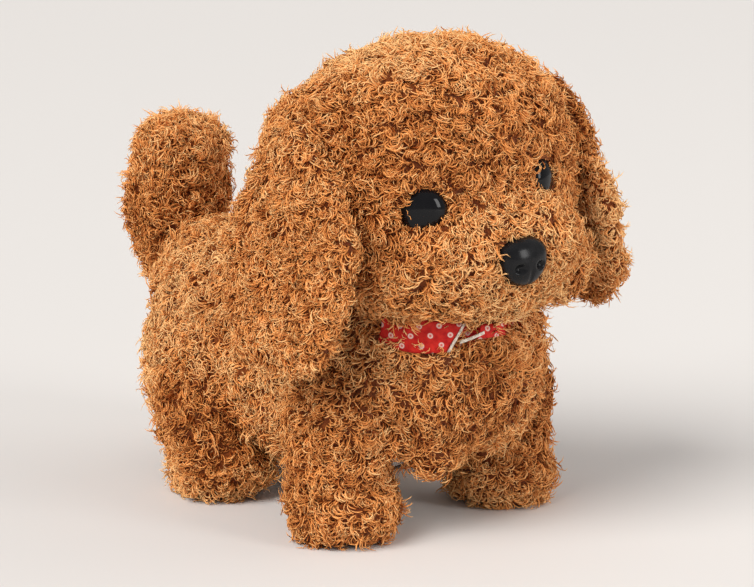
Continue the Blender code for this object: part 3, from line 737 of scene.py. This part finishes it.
def grow_pile(
    name, skin, count, seed, length=STRAND_LENGTH, comb=(0, 0, -1), combed=0.35,
    trim=None, fade=None,
):
    """Curly strands in tufts all over a skin, in panels. A strand rises from its root, lies over
    and then coils. trim gives each root's share of the full length, and fade how many
    tones paler than the rest its strand is, as painted light; a negative count darkens it as
    painted shade."""
    rng = np.random.default_rng(seed)
    roots, normals = scatter(skin.data, count, rng)
    share = trim(roots, normals) if trim else np.ones(count)
    kept = share > 0.05
    roots, normals, share = roots[kept], normals[kept], share[kept]
    count = len(roots)

    tufts = roots[rng.choice(count, count // TUFT_STRANDS, replace=False)]
    tuft = nearest(roots, tufts)
    many = len(tufts)

    def vary(shared, own):
        """A random number for each strand, in part the same all over its tuft."""
        return shared * rng.normal(size=many)[tuft] + own * rng.normal(size=count)

    lean = unit(swirl(tufts, rng, 30 * MM) + rng.normal(size=(many, 3)) * 1.2)
    lean = unit(lean + np.array(comb) * combed * 2)[tuft] + rng.normal(size=(count, 3)) * 0.3
    lean = unit(lean - normals * (lean * normals).sum(1)[:, None])
    side = np.cross(normals, lean)

    start = UPRIGHT[0] + UPRIGHT[1] * vary(0.8, 0.6)
    lay = LAID[0] + LAID[1] * vary(0.8, 0.6)
    hand = rng.choice([-1, 1], many)[tuft]
    coil = hand * (COIL[0] + COIL[1] * vary(0.7, 0.6))
    size = length * share * np.clip(1 + LENGTH_SPREAD * vary(0.8, 0.6), 0.5, 1.45)

    steps = len(TAPER)
    lines = np.empty((count, steps, 3))
    lines[:, 0] = roots - normals * ROOT_DEPTH
    gather = (tufts[tuft] - roots) * GATHER
    for i in range(1, steps):
        t = (i - 0.5) / (steps - 1)
        rise = start + (lay - start) * min(1, t / LAID_AT) + TIP_DIP * max(0, t - DIP_FROM)
        turn = coil * max(0, t - COIL_FROM) / (1 - COIL_FROM)
        flat = np.cos(turn)[:, None] * lean + np.sin(turn)[:, None] * side
        step = np.cos(rise)[:, None] * normals + np.sin(rise)[:, None] * flat
        lines[:, i] = lines[:, i - 1] + step * (size / (steps - 1))[:, None]
        lines[:, i] += gather / (steps - 1)
    lines[:, :, 2] = np.maximum(lines[:, :, 2], FLOOR_CLEARANCE)

    thickness = np.clip(1 + THICKNESS_SPREAD * vary(0, 1), 0.6, 1.5)
    radii = STRAND_R * np.array(TAPER)[None] * thickness[:, None]
    broad = swirl(tufts, rng, 70 * MM)[tuft, 0]
    # Painted light makes strands paler where lamps light the part, and painted shade makes them
    # darker where it is shaded
    paler = fade(roots) if fade else 0
    tones = np.round(MEAN_TONE + 0.5 * broad + vary(0.9, 0.8) + paler)
    tones = np.clip(tones, 1, TONES - 1).astype(int)

    core = roots.mean(0)
    order = np.argsort(np.arctan2(roots[:, 1] - core[1], roots[:, 0] - core[0]))
    panels = np.array_split(order, -(-count // PANEL_STRANDS))
    pieces = []
    for number, panel in enumerate(panels, 1):
        own = f"{name}_{number}"
        mesh = strand_mesh(own, lines[panel], side[panel], radii[panel], tones[panel])
        pieces.append(new_object(own, mesh))
    return pieces


def within(points, centre, radii, grow=0.0, squareness=1.0, turn=None):
    """How far out each point is in an ellipsoid's own measure: under 1 is inside."""
    local = (points - np.array(centre)) @ np.array(turn or Matrix.Identity(3))
    scaled = np.abs(local / (np.array(radii) + grow))
    return (scaled ** (2 / squareness)).sum(1)


def stuffed(name, node, body, form, cutters, count, seed, **growth):
    """A padded skin and its pile, in place of the frame's plain soft solid."""
    skin = soft_skin(f"{name}_skin", form, seed, cutters)
    skin.data.materials.append(UNDERFUR_PAINTED_SHADE)
    for piece in (skin, *grow_pile(f"{name}_pile", skin, count, seed, **growth)):
        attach(piece, body)
    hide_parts(node)
    return skin


# ---------------------------------------------------------------- the stuffed parts


def bib(points):
    """How much longer the pile is beside the neckerchief's left end, which it half hides."""
    centre = on_neck(BIB_ANGLE, BIB_HEIGHT, END_R)
    away = np.linalg.norm(points - np.array(centre), axis=1)
    return 1 + BIB_FRINGE * (1 - smoothstep(0.4 * BIB_REACH, BIB_REACH, away))


def head():
    skull, muzzle, tip = in_head(SKULL), in_head(MUZZLE), in_head(NOSE)
    inset = Vector((1, 1, 1)) * SKIN_INSET
    root_r = Vector((1, 1, 1)) * (EAR_ROOT_R - SKIN_INSET)
    form = shape(
        "head_form", add_ellipsoid,
        (skull, SKULL_R - inset, SKULL_SQUARENESS, HEAD_TURN),
        (muzzle, MUZZLE_R - inset, MUZZLE_SQUARENESS, HEAD_TURN),
        *((in_head(cheek_spot(side)), CHEEK_R) for side in SIDES),
        *((in_head(mirrored(EAR_ROOT, way)), root_r) for way in SIDES.values()),
    )
    buttons = [in_head(eye_spot(side)) for side in SIDES] + [in_head(NOSE + NOSE_SHIFT)]

    def trim(points, normals):
        share = np.ones(len(points))
        for spot in buttons:
            away = np.linalg.norm(points - np.array(spot), axis=1) / EYE_R
            grown = BUTTON_SHORT + (1 - BUTTON_SHORT) * smoothstep(*BUTTON_RING, away)
            share = np.minimum(share, (away > BUTTON_BARE) * grown)
        return share * bib(points)

    # Painted light: the crown, facing the overhead light, and the muzzle, lit from the front, are
    # given paler tones
    def fade(points):
        crown = smoothstep(*CROWN, points[:, 2] - NECK.z)
        away = np.linalg.norm(points - np.array(tip), axis=1)
        snout = smoothstep(SNOUT_REACH, SNOUT_REACH / 2, away)
        return FACE_PAINTED_LIGHT * np.maximum(crown, snout)

    stuffed("head", "head_plush", "head", form, (), 41000, 11, combed=0.15, trim=trim, fade=fade)


def ear(side, seed):
    way = SIDES[side]
    node = f"{side}_ear_plush"
    turn = HEAD_TURN @ Euler((0, -way * EAR_TILT, -way * EAR_YAW)).to_matrix()

    def taper(height):
        return 1 - (1 - EAR_TOP_WIDTH) * float(smoothstep(*EAR_TAPER, height))

    centre = middle(node) - turn @ Vector((way * EAR_TUCK[side], 0, 0))
    form = shape(
        f"{node}_form", add_ellipsoid, (centre, EAR_R - EAR_INSET, EAR_SQUARENESS, turn, taper)
    )
    stuffed(f"{side}_ear", node, f"{side}_ear", form, (), 11000, seed, length=EAR_PILE, combed=0.6)


def trunk():
    low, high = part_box("body_plush")
    centre, radii = (low + high) / 2, (high - low) / 2
    inset = Vector((1, 1, 1)) * SKIN_INSET
    form = shape(
        "trunk_form", add_ellipsoid,
        (centre, radii - inset, TRUNK_SQUARENESS),
        (RUMP, RUMP_R, RUMP_SQUARENESS),
        (BELLY_LIP, BELLY_LIP_R, BELLY_LIP_SQUARENESS),
    )
    skull, muzzle, gap = in_head(SKULL), in_head(MUZZLE), inset * 0.5
    dish = shape("dish", add_ellipsoid, (skull, SKULL_R + gap, 1.0, HEAD_TURN))
    chin = shape("chin", add_ellipsoid, (muzzle, MUZZLE_R + gap, MUZZLE_SQUARENESS, HEAD_TURN))
    plate_low, plate_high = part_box("lower_chassis")
    low_corner = Vector((plate_low.x - OPENING_GAP, plate_low.y - OPENING_GAP, OPENING[0]))
    high_corner = Vector((plate_high.x + OPENING_GAP, plate_high.y + OPENING_GAP, OPENING[1]))
    opening = shape("opening", add_box, (low_corner, high_corner))

    def trim(points, normals):
        share = np.ones(len(points))
        share *= within(points, skull, SKULL_R, 0.5 * MM, turn=HEAD_TURN) > 1
        share *= within(points, muzzle, MUZZLE_R, 0.5 * MM, MUZZLE_SQUARENESS, HEAD_TURN) > 1
        for end in ENDS:
            for side in SIDES:
                hip = Vector(JOINTS[f"{end}_{side}_hip"]["pos_m"])
                share *= within(points, hip, THIGH_R, -1 * MM) > 1
        over = (points > np.array(low_corner) - MM) & (points < np.array(high_corner) + MM)
        fringe = 1 + BELLY_FRINGE * (1 - smoothstep(*BELLY, points[:, 2]))
        return share * ~over.all(1) * fringe * bib(points)

    # Painted light: the flanks, which face the light from the side, get paler tones, and the whole
    # trunk a little
    def fade(points):
        flank = smoothstep(*FLANK, np.abs(points[:, 0])) * smoothstep(*FLANK_FRONT, points[:, 1])
        return TRUNK_PAINTED_LIGHT + (FLANK_PAINTED_LIGHT - TRUNK_PAINTED_LIGHT) * flank

    stuffed(
        "trunk", "body_plush", "body", form, (dish, chin, opening), 46000, 21,
        comb=(0, 0.3, -1), combed=0.25, trim=trim, fade=fade,
    )


def leg(end, side, seed):
    body = f"{end}_{side}_leg"
    hip = Vector(JOINTS[f"{end}_{side}_hip"]["pos_m"])
    radius = LEG_R - LEG_INSET
    bm = bmesh.new()
    add_rod(bm, Vector((hip.x, hip.y, 0.5 * MM)), hip, (radius, radius))
    add_ellipsoid(bm, hip, THIGH_R - Vector((1, 1, 1)) * SKIN_INSET)
    add_ellipsoid(bm, Vector((hip.x, hip.y, 0)) + PAW, PAW_R)
    if end == "rear":
        add_ellipsoid(bm, hip + HAUNCH, HAUNCH_R)

    def trim(points, normals):
        return (normals[:, 2] > SOLE).astype(float)

    # Painted shade on the front legs and painted light on the rear ones, in tones
    def fade(points):
        return LEG_PAINTED_LIGHT_AND_SHADE[end]

    form = mesh_object(f"{body}_form", bm)
    stuffed(body, f"{body}_plush", body, form, (), 8000, seed, combed=0.3, trim=trim, fade=fade)


def tail_root():
    """The short sleeve that joins the tail's cover to the back."""
    pivot = Vector(JOINTS["tail_wag"]["pos_m"])
    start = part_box("tail_plush")[0].y
    centre = Vector((pivot.x, start, pivot.z)) + TAIL_ROOT
    form = shape("tail_root_form", add_ellipsoid, (centre, TAIL_ROOT_R, TAIL_ROOT_SQUARENESS))
    skin = soft_skin("tail_root_skin", form, 61)
    skin.data.materials.append(UNDERFUR_PAINTED_SHADE)
    for piece in (skin, *grow_pile("tail_root_pile", skin, 3500, 61, combed=0.2)):
        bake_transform(piece)


def tail():
    low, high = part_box("tail_plush")
    up = Vector((0, sin(TAIL_LEAN), cos(TAIL_LEAN)))
    radius = (high.x - low.x) / 2 - SKIN_INSET
    foot = Vector(((low.x + high.x) / 2, low.y + radius + SKIN_INSET + TAIL_SHIFT, low.z + 4 * MM))
    bend = foot + up * TAIL_RISE * TAIL_BEND + Vector((0, TAIL_BOW, 0))
    top = foot + up * TAIL_RISE + Vector((0, TAIL_BOW * TAIL_TOP_BOW, 0))
    foot_r, bend_r, top_r = (radius * girth for girth in TAIL_GIRTH)
    bm = bmesh.new()
    add_rod(bm, foot, bend, (foot_r, bend_r))
    add_rod(bm, bend, top, (bend_r, top_r))
    add_ellipsoid(bm, top, Vector((top_r, top_r, TAIL_DOME)))
    form = mesh_object("tail_form", bm)
    stuffed("tail", "tail_plush", "tail", form, (), 10000, 51, comb=(0, 0, 1), combed=0.2)


# ---------------------------------------------------------------- eyes and nose


def eye(side):
    """A domed button eye with a narrow rim."""
    out = HEAD_TURN @ mirrored(EYE_OUT, SIDES[side])
    centre = in_head(eye_spot(side)) + out * EYE_PROUD
    arc = [pi / 2 * i / 16 for i in range(17)]
    profile = [(EYE_R * 0.95 * sin(a), EYE_DOME * cos(a) ** 0.85 + EYE_RIM) for a in arc]
    profile[0] = (0, profile[0][1])
    profile += [(EYE_R * (0.965 + 0.035 * sin(a)), EYE_RIM * cos(a)) for a in arc[4::3]]
    profile += [(EYE_R, -EYE_BACK / 2), (EYE_R * 0.93, -EYE_BACK), (0, -EYE_BACK)]
    bm = bmesh.new()
    add_lathe(bm, profile, centre, out)
    piece = mesh_object(f"{side}_button_eye", bm)
    piece.data.shade_smooth()
    piece.data.materials.append(GLOSS)
    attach(piece, "head")
    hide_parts(f"{side}_eye")


def nose():
    """A moulded nose, broad above and narrow below, with two nostrils and a cleft."""
    bm = bmesh.new()
    made = bmesh.ops.create_uvsphere(bm, u_segments=128, v_segments=96, radius=1)["verts"]
    centre = in_head(NOSE + NOSE_SHIFT) + HEAD_TURN @ Vector((0, 1.4, 0)) * MM
    for vert in made:
        x, y, z = vert.co
        point = Vector([abs(c) ** 0.86 * (1 if c > 0 else -1) for c in (x, y, z)])
        width = 0.80 + 0.24 * float(smoothstep(-0.9, 0.55, z))
        local = Vector((point.x * NOSE_R.x * width, point.y * NOSE_R.y, point.z * NOSE_R.z))
        if y < 0:
            for way in (-1, 1):
                across = (local.x - way * NOSTRIL[0]) / NOSTRIL_R[0]
                rise = (local.z - NOSTRIL[1]) / NOSTRIL_R[1]
                dent = max(0, 1 - across**2 - rise**2)
                local.y += NOSTRIL_DEPTH * dent**1.6
            cleft = max(0, 1 - (local.x / CLEFT_HALF) ** 2) * float(smoothstep(0.1, -0.5, z))
            local.y += CLEFT_DEPTH * cleft
        vert.co = centre + HEAD_TURN @ local
    piece = mesh_object("button_nose", bm)
    piece.data.shade_smooth()
    piece.data.materials.append(NOSE_GLOSS)
    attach(piece, "head")
    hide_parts("nose")


# ---------------------------------------------------------------- neckerchief


def on_neck(angle, height, radii):
    """A point on the oval round the neck, which climbs towards the nape."""
    back = -cos(angle)
    rise = BAND_RISE * (back + 1) * radii.y
    return NECK_OVAL + Vector((sin(angle) * radii.x, back * radii.y, height + rise))


def neck_cloth(name, outline, radii, across, up, closed, ripple, material):
    """A strip of cloth laid on the neck's oval. outline(t, s) gives the angle and height at t up
    the cloth and s along it."""
    bm = bmesh.new()
    layer = bm.verts.layers.float_vector.new("flat")
    rows = []
    for j in range(up + 1):
        row = []
        for i in range(across if closed else across + 1):
            angle, height = outline(j / up, i / across)
            lift = 1 + ripple * (
                sin(angle * 7 + height / (2.2 * MM)) + 0.6 * sin(angle * 17 - height / (1.5 * MM))
            )
            vert = bm.verts.new(on_neck(angle, height, radii * lift))
            vert[layer] = Vector((angle * (radii.x + radii.y) / 2, height, 0))
            row.append(vert)
        rows.append(row)
    for low, high in zip(rows, rows[1:]):
        for i in range(across):
            j = (i + 1) % len(low)
            bm.faces.new((low[i], low[j], high[j], high[i]))
    bm.normal_update()
    obj = mesh_object(name, bm)
    thick = obj.modifiers.new("thick", "SOLIDIFY")
    thick.thickness = CLOTH_THICK
    thick.offset = 0
    obj = applied(obj)
    obj.data.materials.clear()
    obj.data.materials.append(material)
    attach(obj, "body")
    return obj


def neckerchief():
    """The dotted band, its two crossed ends, the satin edging of the right one and a lining."""
    foot, tall, droop = 71.6, 10.4, 1.2  # of the right end, in millimetres

    def band(t, s):
        return tau * s, (72 + 8.2 * t) * MM

    def free_edge(t):
        return radians(-31 + 8 * t)

    def right_end(t, s):
        left, right = radians(-68 + 8 * t - 6 * t * t), free_edge(t)
        sag = droop * sin(pi * s) * (1 - t)
        return left + (right - left) * s, (foot + tall * t - sag + droop * (1 - s) * t) * MM

    def edging(t, s):
        return free_edge(t) + radians(1.4) * s, (foot + tall * t) * MM

    def lining(t, s):
        return radians(-24.5 + 13 * s), (74.6 + 3.2 * s + 1.1 * t) * MM

    def left_end(t, s):
        left, right = radians(-15.5 + 3 * t), radians(2.5 - 2 * t)
        return left + (right - left) * s, (76.2 + 4.8 * t) * MM

    parts = (
        ("neckerchief_band_cloth", band, BAND_R, 160, 6, True, 0.006, COTTON, "neckerchief_band"),
        ("neckerchief_right_cloth", right_end, END_R, 40, 10, False, 0.008, COTTON,
         "neckerchief_right_end"),
        ("neckerchief_left_cloth", left_end, END_R, 20, 6, False, 0.008, COTTON,
         "neckerchief_left_end"),
        ("neckerchief_edging", edging, END_R * TRIM_OUT, 6, 10, False, 0.004, SATIN, None),
        ("neckerchief_lining", lining, END_R * TRIM_OUT, 16, 4, False, 0.006, SATIN, None),
    )
    for name, *laid, node in parts:
        neck_cloth(name, *laid)
        if node:
            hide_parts(node)
    for name, outline, radii, *_, node in parts:
        if not node:
            continue
        edge = [on_neck(*outline(0.5, i / 40), radii) for i in range(41)]
        height = outline(1, 0.5)[1] - outline(0, 0.5)[1]


# ---------------------------------------------------------------- assembly

# The knitted backing under the pile, its colour darkened to a painted shade so gaps between strands
# read as shadow among the fibres
UNDERFUR_PAINTED_SHADE = node_material(
    "underfur_painted_shade", ((0.11, 0.022, 0.005), (0.22, 0.058, 0.013)), (0.9, 1.0), 700, bump=0.6
)
GLOSS = node_material(
    "black_gloss", ((0.003, 0.003, 0.004), (0.005, 0.005, 0.006)), (0.05, 0.10), 150,
    Specular_IOR_Level=0.22,
)
NOSE_GLOSS = node_material(
    "nose_gloss", ((0.005, 0.005, 0.006), (0.010, 0.010, 0.011)), (0.16, 0.26), 300,
    Specular_IOR_Level=0.2,
)
COTTON = cloth_material(
    "dotted_cotton", red=((0.42, 0.006, 0.006), (0.60, 0.022, 0.014)), dot=(0.78, 0.52, 0.47),
    core=(0.62, 0.12, 0.10),
)
SATIN = node_material(
    "satin", ((0.42, 0.34, 0.25), (0.80, 0.74, 0.65)), (0.25, 0.4), 900, bump=0.3, Sheen_Weight=0.4
)
PILE = pile_tones()

camera()
studio()
head()
for number, side in enumerate(SIDES):
    ear(side, 31 + number)
    eye(side)
nose()
trunk()
for number, (end, side) in enumerate((end, side) for end in ENDS for side in SIDES):
    leg(end, side, 41 + number)
tail()
tail_root()
neckerchief()

FINISHES = finishes()
for obj in frame["nodes"].values():
    for slot in obj.material_slots:
        base = slot.material.name.split(".")[0]
        if base in FINISHES:
            slot.material = FINISHES[base]
